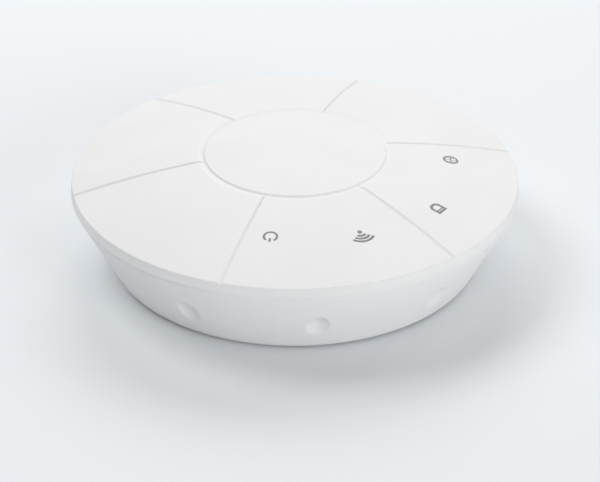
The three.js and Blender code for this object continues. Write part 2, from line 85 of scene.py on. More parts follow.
def calc(tree, operation, *values):
    node = addNode(tree, "ShaderNodeMath", operation=operation)
    for socket, value in zip(node.inputs, values):
        feed(tree, value, socket)
    return node.outputs[0]


def remap(tree, value, fromLow, fromHigh, toLow, toHigh, kind="LINEAR"):
    node = addNode(tree, "ShaderNodeMapRange", interpolation_type=kind)
    for socket, part in zip(node.inputs, (value, fromLow, fromHigh, toLow, toHigh)):
        feed(tree, part, socket)
    return node.outputs[0]


def openTree(name, kind, inputs, outputs):
    tree = bpy.data.node_groups.new(name, kind)
    for label, (socketType, value) in inputs.items():
        socket = tree.interface.new_socket(label, in_out="INPUT", socket_type=socketType)
        if value is not None:
            socket.default_value = value
    for label, socketType in outputs.items():
        tree.interface.new_socket(label, in_out="OUTPUT", socket_type=socketType)
    start = tree.nodes.new("NodeGroupInput")
    end = tree.nodes.new("NodeGroupOutput")
    return tree, start.outputs, end.inputs


# shader groups
decimal = "NodeSocketFloat"
tint = "NodeSocketColor"


def mouldedSkinGroup():
    # fine spark-eroded grain, slow flow marks in the colour, and handling marks in the gloss
    tree, given, made = openTree("mouldedSkin", "ShaderNodeTree", {
        "Colour": (tint, (0.8, 0.8, 0.8, 1)), "Flow Colour": (tint, (0.78, 0.78, 0.78, 1)),
        "Grain Size": (decimal, 0.0003), "Flow Size": (decimal, 0.03), "Speckle": (decimal, 0.02),
        "Roughness": (decimal, 0.4), "Roughness Spread": (decimal, 0.08),
    }, {"Colour": tint, "Roughness": decimal, "Height": decimal})
    place = addNode(tree, "ShaderNodeTexCoord").outputs["Object"]
    grainScale = calc(tree, "DIVIDE", 1.0, given["Grain Size"])
    flowScale = calc(tree, "DIVIDE", 1.0, given["Flow Size"])
    grain = addNode(tree, "ShaderNodeTexNoise", {
        "Vector": place, "Scale": grainScale, "Detail": 2.0, "Roughness": 0.6})
    flow = addNode(tree, "ShaderNodeTexNoise", {
        "Vector": place, "Scale": flowScale, "Detail": 3.0, "Roughness": 0.5, "Distortion": 0.6})
    pits = addNode(tree, "ShaderNodeTexVoronoi", {
        "Vector": place, "Scale": calc(tree, "MULTIPLY", grainScale, 0.55)})
    smudge = addNode(tree, "ShaderNodeTexNoise", {
        "Vector": place, "Scale": calc(tree, "MULTIPLY", flowScale, 2.3), "Detail": 4.0})
    flowMask = remap(tree, flow.outputs["Fac"], 0.35, 0.65, 0.0, 1.0, "SMOOTHSTEP")
    base = addNode(tree, "ShaderNodeMix", data_type="RGBA")
    feed(tree, flowMask, base.inputs[0])
    feed(tree, given["Colour"], base.inputs[6])
    feed(tree, given["Flow Colour"], base.inputs[7])
    low = calc(tree, "SUBTRACT", 1.0, given["Speckle"])
    value = remap(tree, grain.outputs["Fac"], 0.3, 0.7, low, 1.0)
    speckled = addNode(tree, "ShaderNodeHueSaturation", {"Value": value, "Color": base.outputs[2]})
    feed(tree, speckled.outputs[0], made["Colour"])
    swing = calc(tree, "SUBTRACT", smudge.outputs["Fac"], 0.5)
    rough = calc(tree, "MULTIPLY_ADD", swing, given["Roughness Spread"], given["Roughness"])
    feed(tree, rough, made["Roughness"])
    pitDepth = remap(tree, pits.outputs["Distance"], 0.0, 0.6, 0.0, 1.0)
    feed(tree, calc(tree, "MULTIPLY_ADD", pitDepth, 0.5, grain.outputs["Fac"]), made["Height"])
    return tree


def drawnMetalGroup():
    # rolling streaks along one axis, and a mottled plating
    tree, given, made = openTree("drawnMetal", "ShaderNodeTree", {
        "Colour": (tint, (0.6, 0.6, 0.6, 1)), "Stain": (tint, (0.5, 0.5, 0.5, 1)),
        "Streak Width": (decimal, 0.0002), "Streak Stretch": (decimal, 0.04),
        "Roughness": (decimal, 0.3), "Roughness Spread": (decimal, 0.15),
    }, {"Colour": tint, "Roughness": decimal, "Height": decimal})
    place = addNode(tree, "ShaderNodeTexCoord").outputs["Object"]
    split = addNode(tree, "ShaderNodeSeparateXYZ", {"Vector": place})
    across = calc(tree, "DIVIDE", 1.0, given["Streak Width"])
    along = calc(tree, "MULTIPLY", across, given["Streak Stretch"])
    stretched = addNode(tree, "ShaderNodeCombineXYZ", {
        "X": calc(tree, "MULTIPLY", split.outputs["X"], across),
        "Y": calc(tree, "MULTIPLY", split.outputs["Y"], along),
        "Z": calc(tree, "MULTIPLY", split.outputs["Z"], across)})
    streak = addNode(tree, "ShaderNodeTexNoise", {
        "Vector": stretched.outputs[0], "Scale": 1.0, "Detail": 3.0})
    mottle = addNode(tree, "ShaderNodeTexNoise", {
        "Vector": place, "Scale": calc(tree, "MULTIPLY", along, 2.0), "Detail": 5.0})
    stain = addNode(tree, "ShaderNodeMix", data_type="RGBA")
    feed(tree, remap(tree, mottle.outputs["Fac"], 0.45, 0.75, 0.0, 0.8), stain.inputs[0])
    feed(tree, given["Colour"], stain.inputs[6])
    feed(tree, given["Stain"], stain.inputs[7])
    feed(tree, stain.outputs[2], made["Colour"])
    swing = calc(tree, "SUBTRACT", streak.outputs["Fac"], 0.5)
    rough = calc(tree, "MULTIPLY_ADD", swing, given["Roughness Spread"], given["Roughness"])
    feed(tree, rough, made["Roughness"])
    feed(tree, streak.outputs["Fac"], made["Height"])
    return tree


def settledDustGroup():
    # a thin film of dust that gathers on what faces up
    tree, given, made = openTree("settledDust", "ShaderNodeTree", {
        "Colour": (tint, (0.8, 0.8, 0.8, 1)), "Dust Colour": (tint, (0.62, 0.6, 0.57, 1)),
        "Roughness": (decimal, 0.4), "Amount": (decimal, 0.05), "Patch Size": (decimal, 0.02),
    }, {"Colour": tint, "Roughness": decimal})
    place = addNode(tree, "ShaderNodeTexCoord").outputs["Object"]
    up = addNode(tree, "ShaderNodeSeparateXYZ", {
        "Vector": addNode(tree, "ShaderNodeNewGeometry").outputs["Normal"]}).outputs["Z"]
    patch = addNode(tree, "ShaderNodeTexNoise", {
        "Vector": place, "Scale": calc(tree, "DIVIDE", 1.0, given["Patch Size"]), "Detail": 8.0,
        "Roughness": 0.7})
    facing = remap(tree, up, 0.2, 0.9, 0.0, 1.0, "SMOOTHSTEP")
    cover = calc(tree, "MULTIPLY", facing, remap(tree, patch.outputs["Fac"], 0.4, 0.7, 0.2, 1.0))
    mask = calc(tree, "MULTIPLY", cover, given["Amount"])
    mixed = addNode(tree, "ShaderNodeMix", data_type="RGBA")
    feed(tree, mask, mixed.inputs[0])
    feed(tree, given["Colour"], mixed.inputs[6])
    feed(tree, given["Dust Colour"], mixed.inputs[7])
    feed(tree, mixed.outputs[2], made["Colour"])
    feed(tree, calc(tree, "MULTIPLY_ADD", mask, 0.4, given["Roughness"]), made["Roughness"])
    return tree


mouldedSkin = mouldedSkinGroup()
drawnMetal = drawnMetalGroup()
settledDust = settledDustGroup()


def grey(level, warmth=0.0):
    return (level * (1 + warmth), level, level * (1 - warmth), 1)


def useGroup(tree, group, values):
    node = addNode(tree, "ShaderNodeGroup", node_tree=group)
    for key, value in values.items():
        feed(tree, value, node.inputs[key])
    return node.outputs


def plainMaterial(name, preview):
    material = bpy.data.materials.new(name)
    material.use_nodes = True
    material.diffuse_color = preview
    tree = material.node_tree
    return material, tree, tree.nodes["Principled BSDF"]


def mouldedMaterial(name, skin, bumpDepth, dust=0.0, **fixed):
    material, tree, shader = plainMaterial(name, skin["Colour"])
    surface = useGroup(tree, mouldedSkin, skin)
    colour, rough = surface["Colour"], surface["Roughness"]
    if dust:
        film = useGroup(tree, settledDust, {"Colour": colour, "Roughness": rough, "Amount": dust})
        colour, rough = film["Colour"], film["Roughness"]
    bump = addNode(tree, "ShaderNodeBump", {
        "Height": surface["Height"], "Strength": 1.0, "Distance": bumpDepth})
    feed(tree, colour, shader.inputs["Base Color"])
    feed(tree, rough, shader.inputs["Roughness"])
    feed(tree, bump.outputs[0], shader.inputs["Normal"])
    for key, value in fixed.items():
        shader.inputs[key.replace("_", " ")].default_value = value
    return material


def metalMaterial(name, skin, bumpDepth):
    material, tree, shader = plainMaterial(name, skin["Colour"])
    surface = useGroup(tree, drawnMetal, skin)
    bump = addNode(tree, "ShaderNodeBump", {
        "Height": surface["Height"], "Strength": 1.0, "Distance": bumpDepth})
    feed(tree, surface["Colour"], shader.inputs["Base Color"])
    feed(tree, surface["Roughness"], shader.inputs["Roughness"])
    feed(tree, bump.outputs[0], shader.inputs["Normal"])
    shader.inputs["Metallic"].default_value = 1.0
    return material


def boardMaterial():
    # green solder mask over copper tracks, with tinned rings round the vias
    material, tree, shader = plainMaterial("solderMask", (0.02, 0.14, 0.06, 1))
    place = addNode(tree, "ShaderNodeTexCoord").outputs["Object"]
    tracks = addNode(tree, "ShaderNodeTexBrick", {
        "Vector": place, "Scale": 1.0, "Mortar Size": 0.00012, "Mortar Smooth": 0.1,
        "Brick Width": 0.009, "Row Height": 0.0011,
        "Color1": (0.014, 0.115, 0.05, 1), "Color2": (0.012, 0.1, 0.044, 1),
        "Mortar": (0.03, 0.19, 0.085, 1)})
    vias = addNode(tree, "ShaderNodeTexVoronoi", {"Vector": place, "Scale": 260.0})
    ring = remap(tree, vias.outputs["Distance"], 0.09, 0.11, 1.0, 0.0)
    mixed = addNode(tree, "ShaderNodeMix", data_type="RGBA")
    feed(tree, ring, mixed.inputs[0])
    feed(tree, tracks.outputs["Color"], mixed.inputs[6])
    mixed.inputs[7].default_value = (0.62, 0.6, 0.52, 1)
    wave = addNode(tree, "ShaderNodeTexNoise", {"Vector": place, "Scale": 900.0, "Detail": 2.0})
    lift = calc(tree, "MULTIPLY_ADD", wave.outputs["Fac"], 0.3, tracks.outputs["Fac"])
    bump = addNode(tree, "ShaderNodeBump", {"Height": lift, "Strength": 1.0, "Distance": 0.00003})
    feed(tree, mixed.outputs[2], shader.inputs["Base Color"])
    feed(tree, remap(tree, wave.outputs["Fac"], 0.3, 0.7, 0.28, 0.42), shader.inputs["Roughness"])
    feed(tree, bump.outputs[0], shader.inputs["Normal"])
    return material


whitePlastic = mouldedMaterial("whitePlastic", {
    "Colour": grey(0.83), "Flow Colour": grey(0.815, 0.002), "Grain Size": 0.00032,
    "Flow Size": 0.035, "Speckle": 0.015, "Roughness": 0.55, "Roughness Spread": 0.1,
}, 0.000006, dust=0.012, Specular_IOR_Level=0.08)
basePlastic = mouldedMaterial("basePlastic", {
    "Colour": grey(0.72), "Flow Colour": grey(0.69, 0.004), "Grain Size": 0.0005,
    "Flow Size": 0.025, "Speckle": 0.03, "Roughness": 0.55, "Roughness Spread": 0.12,
}, 0.00002, IOR=1.5)
bracketPlastic = mouldedMaterial("bracketPlastic", {
    "Colour": grey(0.64), "Flow Colour": grey(0.6, 0.004), "Grain Size": 0.00045,
    "Flow Size": 0.02, "Speckle": 0.04, "Roughness": 0.5, "Roughness Spread": 0.15,
}, 0.00002, IOR=1.5)
iconInk = mouldedMaterial("iconInk", {
    "Colour": grey(0.19), "Flow Colour": grey(0.22), "Grain Size": 0.00015,
    "Flow Size": 0.002, "Speckle": 0.1, "Roughness": 0.5, "Roughness Spread": 0.1,
}, 0.000004)
footRubber = mouldedMaterial("footRubber", {
    "Colour": grey(0.2), "Flow Colour": grey(0.17), "Grain Size": 0.0004,
    "Flow Size": 0.004, "Speckle": 0.12, "Roughness": 0.82, "Roughness Spread": 0.2,
}, 0.00004)
chipBlack = mouldedMaterial("chipBlack", {
    "Colour": grey(0.022), "Flow Colour": grey(0.032), "Grain Size": 0.0002,
    "Flow Size": 0.006, "Speckle": 0.25, "Roughness": 0.55, "Roughness Spread": 0.2,
}, 0.00001)
ferrite = mouldedMaterial("ferrite", {
    "Colour": grey(0.05, 0.05), "Flow Colour": grey(0.07, 0.05), "Grain Size": 0.0003,
    "Flow Size": 0.003, "Speckle": 0.3, "Roughness": 0.7, "Roughness Spread": 0.2,
}, 0.00003)
thermalSilicone = mouldedMaterial("thermalSilicone", {
    "Colour": (0.22, 0.4, 0.54, 1), "Flow Colour": (0.2, 0.36, 0.5, 1), "Grain Size": 0.0005,
    "Flow Size": 0.004, "Speckle": 0.1, "Roughness": 0.8, "Roughness Spread": 0.1,
}, 0.00003)
clearPlastic = mouldedMaterial("clearPlastic", {
    "Colour": (0.78, 0.84, 0.88, 1), "Flow Colour": (0.74, 0.82, 0.87, 1), "Grain Size": 0.0006,
    "Flow Size": 0.004, "Speckle": 0.03, "Roughness": 0.14, "Roughness Spread": 0.08,
}, 0.000006, Transmission_Weight=0.6, IOR=1.49)
ledLens = mouldedMaterial("ledLens", {
    "Colour": (0.82, 0.76, 0.42, 1), "Flow Colour": (0.86, 0.82, 0.56, 1), "Grain Size": 0.0004,
    "Flow Size": 0.0015, "Speckle": 0.1, "Roughness": 0.3, "Roughness Spread": 0.1,
}, 0.00001)
zincPlate = metalMaterial("zincPlate", {
    "Colour": grey(0.55, -0.02), "Stain": grey(0.42, 0.02), "Streak Width": 0.00025,
    "Streak Stretch": 0.5, "Roughness": 0.34, "Roughness Spread": 0.2,
}, 0.000006)
tinnedSheet = metalMaterial("tinnedSheet", {
    "Colour": grey(0.62), "Stain": grey(0.52, 0.02), "Streak Width": 0.00018,
    "Streak Stretch": 0.03, "Roughness": 0.3, "Roughness Spread": 0.18,
}, 0.000004)
sinkAluminium = metalMaterial("sinkAluminium", {
    "Colour": grey(0.68), "Stain": grey(0.6, -0.01), "Streak Width": 0.00022,
    "Streak Stretch": 0.05, "Roughness": 0.38, "Roughness Spread": 0.2,
}, 0.000008)
contactGold = metalMaterial("contactGold", {
    "Colour": (0.8, 0.56, 0.2, 1), "Stain": (0.7, 0.46, 0.16, 1), "Streak Width": 0.0001,
    "Streak Stretch": 0.1, "Roughness": 0.24, "Roughness Spread": 0.1,
}, 0.000003)
solderMask = boardMaterial()
print("materials:", len(bpy.data.materials))


# mesh helpers
def pieceFrom(name, points, faces, material):
    mesh = bpy.data.meshes.new(name)
    mesh.from_pydata(points, [], faces)
    mesh.materials.append(material)
    piece = bpy.data.objects.new(name, mesh)
    scene.collection.objects.link(piece)
    return piece


def smoothed(piece, sharpFrom=32):
    piece.data.shade_smooth()
    piece.data.set_sharp_from_angle(angle=math.radians(sharpFrom))
    return piece


def turned(name, outline, columns, material):
    # outline: radius and height, anticlockwise; it starts and ends on the axis, or closes on itself
    onAxis = outline[0][0] == 0 and outline[-1][0] == 0
    points, rings = [], []
    for radius, height in outline:
        if radius == 0:
            rings.append([len(points)] * columns)
            points.append((0, 0, height))
            continue
        rings.append([len(points) + j for j in range(columns)])
        for j in range(columns):
            angle = math.tau * j / columns
            points.append((radius * math.cos(angle), radius * math.sin(angle), height))
    faces = []
    pairs = list(zip(rings, rings[1:])) + ([] if onAxis else [(rings[-1], rings[0])])
    for low, high in pairs:
        for j in range(columns):
            k = (j + 1) % columns
            corners = [low[j], low[k], high[k], high[j]]
            faces.append(list(dict.fromkeys(corners)))
    return pieceFrom(name, points, faces, material), rings


def markRows(piece, rings, name, rowValues):
    layer = piece.data.attributes.new(name, "FLOAT", "POINT")
    for ring, value in zip(rings, rowValues):
        for index in set(ring):
            layer.data[index].value = value


def grown(piece, tree, values):
    # runs a geometry tree on the piece and keeps its result as a plain mesh
    modifier = piece.modifiers.new(tree.name, "NODES")
    modifier.node_group = tree
    for item in tree.interface.items_tree:
        if item.item_type == "SOCKET" and item.in_out == "INPUT" and item.name in values:
            modifier[item.identifier] = values[item.name]
    baked(piece)
    for layer in [a.name for a in piece.data.attributes if a.name.startswith("row")]:
        piece.data.attributes.remove(piece.data.attributes[layer])
    return piece


def baked(piece):
    shown = piece.evaluated_get(bpy.context.evaluated_depsgraph_get())
    mesh = bpy.data.meshes.new_from_object(shown)
    piece.modifiers.clear()
    piece.data = mesh
    return piece


def finished(piece, body, slot, *nodes):
    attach(piece, body)
    if nodes:
        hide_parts(*nodes)
    return piece


def copiedRound(piece, s, material):
    return smoothed(grown(piece, copiesRound, {
        "Copies": 4, "Circle Radius": s["circle"], "First Angle": math.radians(s["first"]),
        "Step Angle": math.radians(s.get("step", 90)), "Material": material}))


def arc(centre, radius, fromAngle, toAngle, steps):
    turns = [fromAngle + (toAngle - fromAngle) * i / steps for i in range(steps + 1)]
    return [(centre[0] + radius * math.cos(math.radians(t)),
             centre[1] + radius * math.sin(math.radians(t))) for t in turns]


def spread(low, high, count):
    return [low + (high - low) * i / (count - 1) for i in range(count)]


# geometry trees
shapeIn = "NodeSocketGeometry"
whole = "NodeSocketInt"
paint = "NodeSocketMaterial"


def shapeTree(name, inputs):
    inputs = {"Geometry": (shapeIn, None), **inputs, "Material": (paint, None)}
    return openTree(name, "GeometryNodeTree", inputs, {"Geometry": shapeIn})


def endTree(tree, geometry, given, made):
    real = addNode(tree, "GeometryNodeRealizeInstances", {"Geometry": geometry})
    painted = addNode(tree, "GeometryNodeSetMaterial", {
        "Geometry": real.outputs[0], "Material": given["Material"]})
    feed(tree, painted.outputs[0], made["Geometry"])


def polarPlace(tree):
    place = addNode(tree, "GeometryNodeInputPosition").outputs[0]
    split = addNode(tree, "ShaderNodeSeparateXYZ", {"Vector": place})
    x, y, z = split.outputs
    radius = calc(tree, "SQRT", calc(tree, "MULTIPLY_ADD", x, x, calc(tree, "MULTIPLY", y, y)))
    return radius, calc(tree, "ARCTAN2", y, x), z


def polarSpot(tree, radius, angle, height):
    return addNode(tree, "ShaderNodeCombineXYZ", {
        "X": calc(tree, "MULTIPLY", radius, calc(tree, "COSINE", angle)),
        "Y": calc(tree, "MULTIPLY", radius, calc(tree, "SINE", angle)), "Z": height}).outputs[0]


def fromNearest(tree, angle, count, first):
    # the angle from the nearest of the evenly spaced places, and half their spacing
    pitch = calc(tree, "DIVIDE", math.tau, count)
    half = calc(tree, "DIVIDE", pitch, 2.0)
    offset = calc(tree, "SUBTRACT", angle, first)
    local = calc(tree, "WRAP", offset, half, calc(tree, "MULTIPLY", half, -1.0))
    return local, half


def rowValue(tree, name):
    node = addNode(tree, "GeometryNodeInputNamedAttribute", {"Name": name}, data_type="FLOAT")
    return node.outputs["Attribute"]


def pressedGroovesTree():
    # draws the mesh's columns together at each radial groove, then presses the groove in
    tree, given, made = shapeTree("pressedGrooves", {
        "Groove Count": (whole, 6), "First Angle": (decimal, 0.0),
        "Ring Radius": (decimal, 0.038), "Rim Radius": (decimal, 0.09),
        "Inner Width": (decimal, 0.0014), "Outer Width": (decimal, 0.0022),
        "Depth": (decimal, 0.0006), "Lip": (decimal, 0.1), "Column Share": (decimal, 0.3),
    })
    radius, angle, height = polarPlace(tree)
    local, sector = fromNearest(tree, angle, given["Groove Count"], given["First Angle"])
    size = calc(tree, "ABSOLUTE", local)
    width = remap(tree, radius, given["Ring Radius"], given["Rim Radius"],
                  given["Inner Width"], given["Outer Width"])
    halfWidth = calc(tree, "DIVIDE", width, 2.0)
    window = calc(tree, "DIVIDE", calc(tree, "MULTIPLY", halfWidth, 1.5), radius)
    share = given["Column Share"]
    step = calc(tree, "DIVIDE", size, sector)
    near = calc(tree, "MULTIPLY", calc(tree, "DIVIDE", step, share), window)
    rest = calc(tree, "SUBTRACT", 1.0, share)
    beyond = calc(tree, "DIVIDE", calc(tree, "SUBTRACT", step, share), rest)
    far = calc(tree, "MULTIPLY_ADD", beyond, calc(tree, "SUBTRACT", sector, window), window)
    crowded = calc(tree, "MAXIMUM", near, far)
    amount = remap(tree, radius, calc(tree, "MULTIPLY", given["Ring Radius"], 0.7),
                   calc(tree, "MULTIPLY", given["Ring Radius"], 0.94), 0.0, 1.0, "SMOOTHSTEP")
    newSize = calc(tree, "MULTIPLY_ADD", calc(tree, "SUBTRACT", crowded, size), amount, size)
    newAngle = calc(tree, "ADD", angle, calc(
        tree, "MULTIPLY", calc(tree, "SUBTRACT", newSize, size), calc(tree, "SIGN", local)))
    across = calc(tree, "DIVIDE", calc(tree, "MULTIPLY", radius, newSize), halfWidth)
    vee = calc(tree, "SMOOTH_MAX", calc(tree, "SUBTRACT", 1.0, across), 0.0, given["Lip"])
    wanted = calc(tree, "MULTIPLY", vee, given["Depth"])
    extra = calc(tree, "MAXIMUM", calc(tree, "SUBTRACT", wanted, rowValue(tree, "rowRing")), 0.0)
    press = calc(tree, "MULTIPLY", extra, rowValue(tree, "rowPress"))
    place = polarSpot(tree, radius, newAngle, calc(tree, "SUBTRACT", height, press))
    moved = addNode(tree, "GeometryNodeSetPosition", {"Geometry": given["Geometry"], "Position": place})
    endTree(tree, moved.outputs[0], given, made)
    return tree


def pressedDimplesTree():
    # presses a finger dimple into a sloping wall at each evenly spaced place
    tree, given, made = shapeTree("pressedDimples", {
        "Dimple Count": (whole, 10), "First Angle": (decimal, 0.0),
        "Height": (decimal, 0.0145), "Dimple Radius": (decimal, 0.0055), "Depth": (decimal, 0.0014),
        "Stretch": (decimal, 1.3), "Lip": (decimal, 0.1), "Wall Tilt": (decimal, 0.44),
    })
    radius, angle, height = polarPlace(tree)
    local = fromNearest(tree, angle, given["Dimple Count"], given["First Angle"])[0]
    along = calc(tree, "MULTIPLY", radius, local)
    up = calc(tree, "DIVIDE", calc(tree, "SUBTRACT", height, given["Height"]),
              calc(tree, "MULTIPLY", calc(tree, "COSINE", given["Wall Tilt"]), given["Stretch"]))
    distance = calc(tree, "MULTIPLY_ADD", along, along, calc(tree, "MULTIPLY", up, up))
    share = calc(tree, "DIVIDE", distance, calc(tree, "POWER", given["Dimple Radius"], 2.0))
    bowl = calc(tree, "SMOOTH_MAX", calc(tree, "SUBTRACT", 1.0, share), 0.0, given["Lip"])
    deep = calc(tree, "MULTIPLY", bowl, given["Depth"])
    press = calc(tree, "MULTIPLY", deep, rowValue(tree, "rowPress"))
    inward = calc(tree, "MULTIPLY", calc(tree, "COSINE", given["Wall Tilt"]), -1.0)
    newRadius = calc(tree, "MULTIPLY_ADD", press, inward, radius)
    lift = calc(tree, "MULTIPLY_ADD", press, calc(tree, "SINE", given["Wall Tilt"]), height)
    place = polarSpot(tree, newRadius, angle, lift)
    moved = addNode(tree, "GeometryNodeSetPosition", {"Geometry": given["Geometry"], "Position": place})
    endTree(tree, moved.outputs[0], given, made)
    return tree


def copiesRoundTree():
    # copies of one part on a circle, each turned to face outwards
    tree, given, made = shapeTree("copiesRound", {
        "Copies": (whole, 4), "Circle Radius": (decimal, 0.05),
        "First Angle": (decimal, 0.0), "Step Angle": (decimal, math.tau / 4),
    })
    line = addNode(tree, "GeometryNodeMeshLine", {"Count": given["Copies"]})
    turn = calc(tree, "MULTIPLY_ADD", addNode(tree, "GeometryNodeInputIndex").outputs[0],
                given["Step Angle"], given["First Angle"])
    spot = polarSpot(tree, given["Circle Radius"], turn, 0.0)
    spots = addNode(tree, "GeometryNodeSetPosition", {"Geometry": line.outputs[0], "Position": spot})
    euler = addNode(tree, "ShaderNodeCombineXYZ", {"Z": turn})
    facing = addNode(tree, "FunctionNodeEulerToRotation", {"Euler": euler.outputs[0]})
    copies = addNode(tree, "GeometryNodeInstanceOnPoints", {
        "Points": spots.outputs[0], "Instance": given["Geometry"], "Rotation": facing.outputs[0]})
    endTree(tree, copies.outputs[0], given, made)
    return tree


def copiesInRowTree():
    # copies of one part in a straight row, middle copy at the part's own place
    tree, given, made = shapeTree("copiesInRow", {
        "Copies": (whole, 8), "Pitch": (decimal, 0.001),
    })
    line = addNode(tree, "GeometryNodeMeshLine", {"Count": given["Copies"]})
    middle = calc(tree, "DIVIDE", calc(tree, "SUBTRACT", given["Copies"], 1.0), 2.0)
    along = calc(tree, "SUBTRACT", addNode(tree, "GeometryNodeInputIndex").outputs[0], middle)
    spot = addNode(tree, "ShaderNodeCombineXYZ", {"X": calc(tree, "MULTIPLY", along, given["Pitch"])})
    spots = addNode(tree, "GeometryNodeSetPosition", {
        "Geometry": line.outputs[0], "Position": spot.outputs[0]})
    copies = addNode(tree, "GeometryNodeInstanceOnPoints", {
        "Points": spots.outputs[0], "Instance": given["Geometry"]})
    endTree(tree, copies.outputs[0], given, made)
    return tree


pressedGrooves = pressedGroovesTree()
pressedDimples = pressedDimplesTree()
copiesRound = copiesRoundTree()
copiesInRow = copiesInRowTree()


# cover
coverShape = {
    "rimRadius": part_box("top_cover")[1][0], "top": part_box("top_cover")[1][2],
    "domeRise": 11.8 * mm, "wall": 2.4 * mm, "rimFillet": 0.5 * mm, "skirtFlare": 0.5 * mm,
    "skirtDrop": 4.2 * mm, "skirtWall": 2.2 * mm, "lipRadius": 0.4 * mm,
    "ringInner": 36.2 * mm, "ringBottom": 36.8 * mm, "ringOuter": 39.2 * mm, "ringDepth": 0.66 * mm,
    "ringSoftening": 0.04 * mm, "ringRows": 34, "ringRowPitch": 0.12 * mm, "ringRowsEnd": 4.6 * mm,
    "innerBend": 1 * mm, "softEdge": 0.3 * mm,
    "grooveCount": 6, "grooveFirst": 11.8, "grooveInnerWidth": 1.4 * mm, "grooveOuterWidth": 2.2 * mm,
    "grooveDepth": 0.76 * mm, "grooveLip": 0.1, "columns": 360,
}
rimHeight = coverShape["top"] - coverShape["domeRise"]
skirtBottom = rimHeight - coverShape["skirtDrop"]
domeEdge = coverShape["rimRadius"] - coverShape["skirtFlare"]
domeSphere = (domeEdge ** 2 + coverShape["domeRise"] ** 2) / (2 * coverShape["domeRise"])


def domeHeight(radius, inset=0.0):
    centre = coverShape["top"] - domeSphere
    return centre + math.sqrt((domeSphere - inset) ** 2 - radius ** 2)


def ringDepthAt(radius):
    # a steep inner wall and a shallow outer one, rounded by averaging over a small width
    def raw(r):
        rise = (r - coverShape["ringInner"]) / (coverShape["ringBottom"] - coverShape["ringInner"])
        fall = (coverShape["ringOuter"] - r) / (coverShape["ringOuter"] - coverShape["ringBottom"])
        return coverShape["ringDepth"] * max(0.0, min(rise, fall))
    near = [raw(radius + k * coverShape["ringSoftening"]) for k in range(-4, 5)]
    return sum(near) / len(near)


def makeCover():
    s = coverShape
    skirtInner = domeEdge - s["skirtWall"]
    foot, lip, soft, inner = s["rimRadius"], s["lipRadius"], s["softEdge"], s["innerBend"]
    under = [(r, domeHeight(r, s["wall"])) for r in spread(0, skirtInner - inner, 24)]
    outline = under + arc((skirtInner - inner, under[-1][1] - inner), inner, 80, 0, 5)
    outline.append((skirtInner, skirtBottom + soft))
    outline += arc((skirtInner + soft, skirtBottom + soft), soft, 180, 270, 3)
    outline += arc((foot - lip, skirtBottom + lip), lip, -90, 12, 7)
    hidden = len(outline)
    fillet = s["rimFillet"]
    bend = (domeEdge - fillet, domeHeight(domeEdge - fillet) - fillet)
    slope = math.degrees(math.asin((domeEdge - fillet) / domeSphere))
    low = skirtBottom + lip
    for share in (0.12, 0.3, 0.5, 0.68, 0.84):
        out = s["skirtFlare"] * (1 - share) ** 2
        outline.append((domeEdge + out, low + (bend[1] - low) * share))
    rim = arc(bend, fillet, 0, 90 - slope, 8)
    outline += rim
    start = s["ringOuter"] + 0.5 * mm
    radii = spread(bend[0] - 0.8 * mm, start + 1 * mm, 34) + [start + 0.4 * mm]
    radii += [start - s["ringRowPitch"] * i for i in range(s["ringRows"])]
    radii += spread(start - s["ringRowsEnd"], 2 * mm, 18)
    outline += [(r, domeHeight(r) - ringDepthAt(r)) for r in radii] + [(0, domeHeight(0))]
    piece, rings = turned("coverShell", outline, s["columns"], whitePlastic)
    pressed = [0.0] * hidden + [0, 0, 0.15, 0.6, 0.95] + [1.0] * len(rim)
    pressed += [1.0 if r > s["ringBottom"] else 0.0 for r in radii] + [0.0]
    ring = [0.0] * (len(outline) - len(radii) - 1) + [ringDepthAt(r) for r in radii] + [0.0]
    markRows(piece, rings, "rowPress", pressed)
    markRows(piece, rings, "rowRing", ring)
    grown(piece, pressedGrooves, {
        "Groove Count": s["grooveCount"], "First Angle": math.radians(s["grooveFirst"]),
        "Ring Radius": s["ringOuter"], "Rim Radius": s["rimRadius"],
        "Inner Width": s["grooveInnerWidth"], "Outer Width": s["grooveOuterWidth"],
        "Depth": s["grooveDepth"], "Lip": s["grooveLip"], "Material": whitePlastic})
    return smoothed(piece)


coverShell = makeCover()
finished(coverShell, "housing", "white_plastic", "top_cover")

coverBossSizes = {
    "radius": 3.5 * mm, "bore": 1.75 * mm, "boreTop": 32 * mm, "circle": 58 * mm, "first": 45,
}


def makeCoverBosses():
    s = coverBossSizes
    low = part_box("top_cover")[0][2]
    high = domeHeight(s["circle"], coverShape["wall"]) + 0.4 * mm
    chamfer = 0.3 * mm
    outline = [(0, s["boreTop"]), (s["bore"], s["boreTop"]), (s["bore"], low + chamfer),
               (s["bore"] + chamfer, low), (s["radius"] - chamfer, low), (s["radius"], low + chamfer),
               (s["radius"], high - 2 * mm), (s["radius"] + 0.4 * mm, high - 0.5 * mm),
               (s["radius"] + 1.2 * mm, high), (0, high)]
    piece = turned("coverBosses", outline, 40, whitePlastic)[0]
    return copiedRound(piece, s, whitePlastic)


finished(makeCoverBosses(), "housing", "white_plastic")
print("cover:", len(coverShell.data.polygons), "faces")


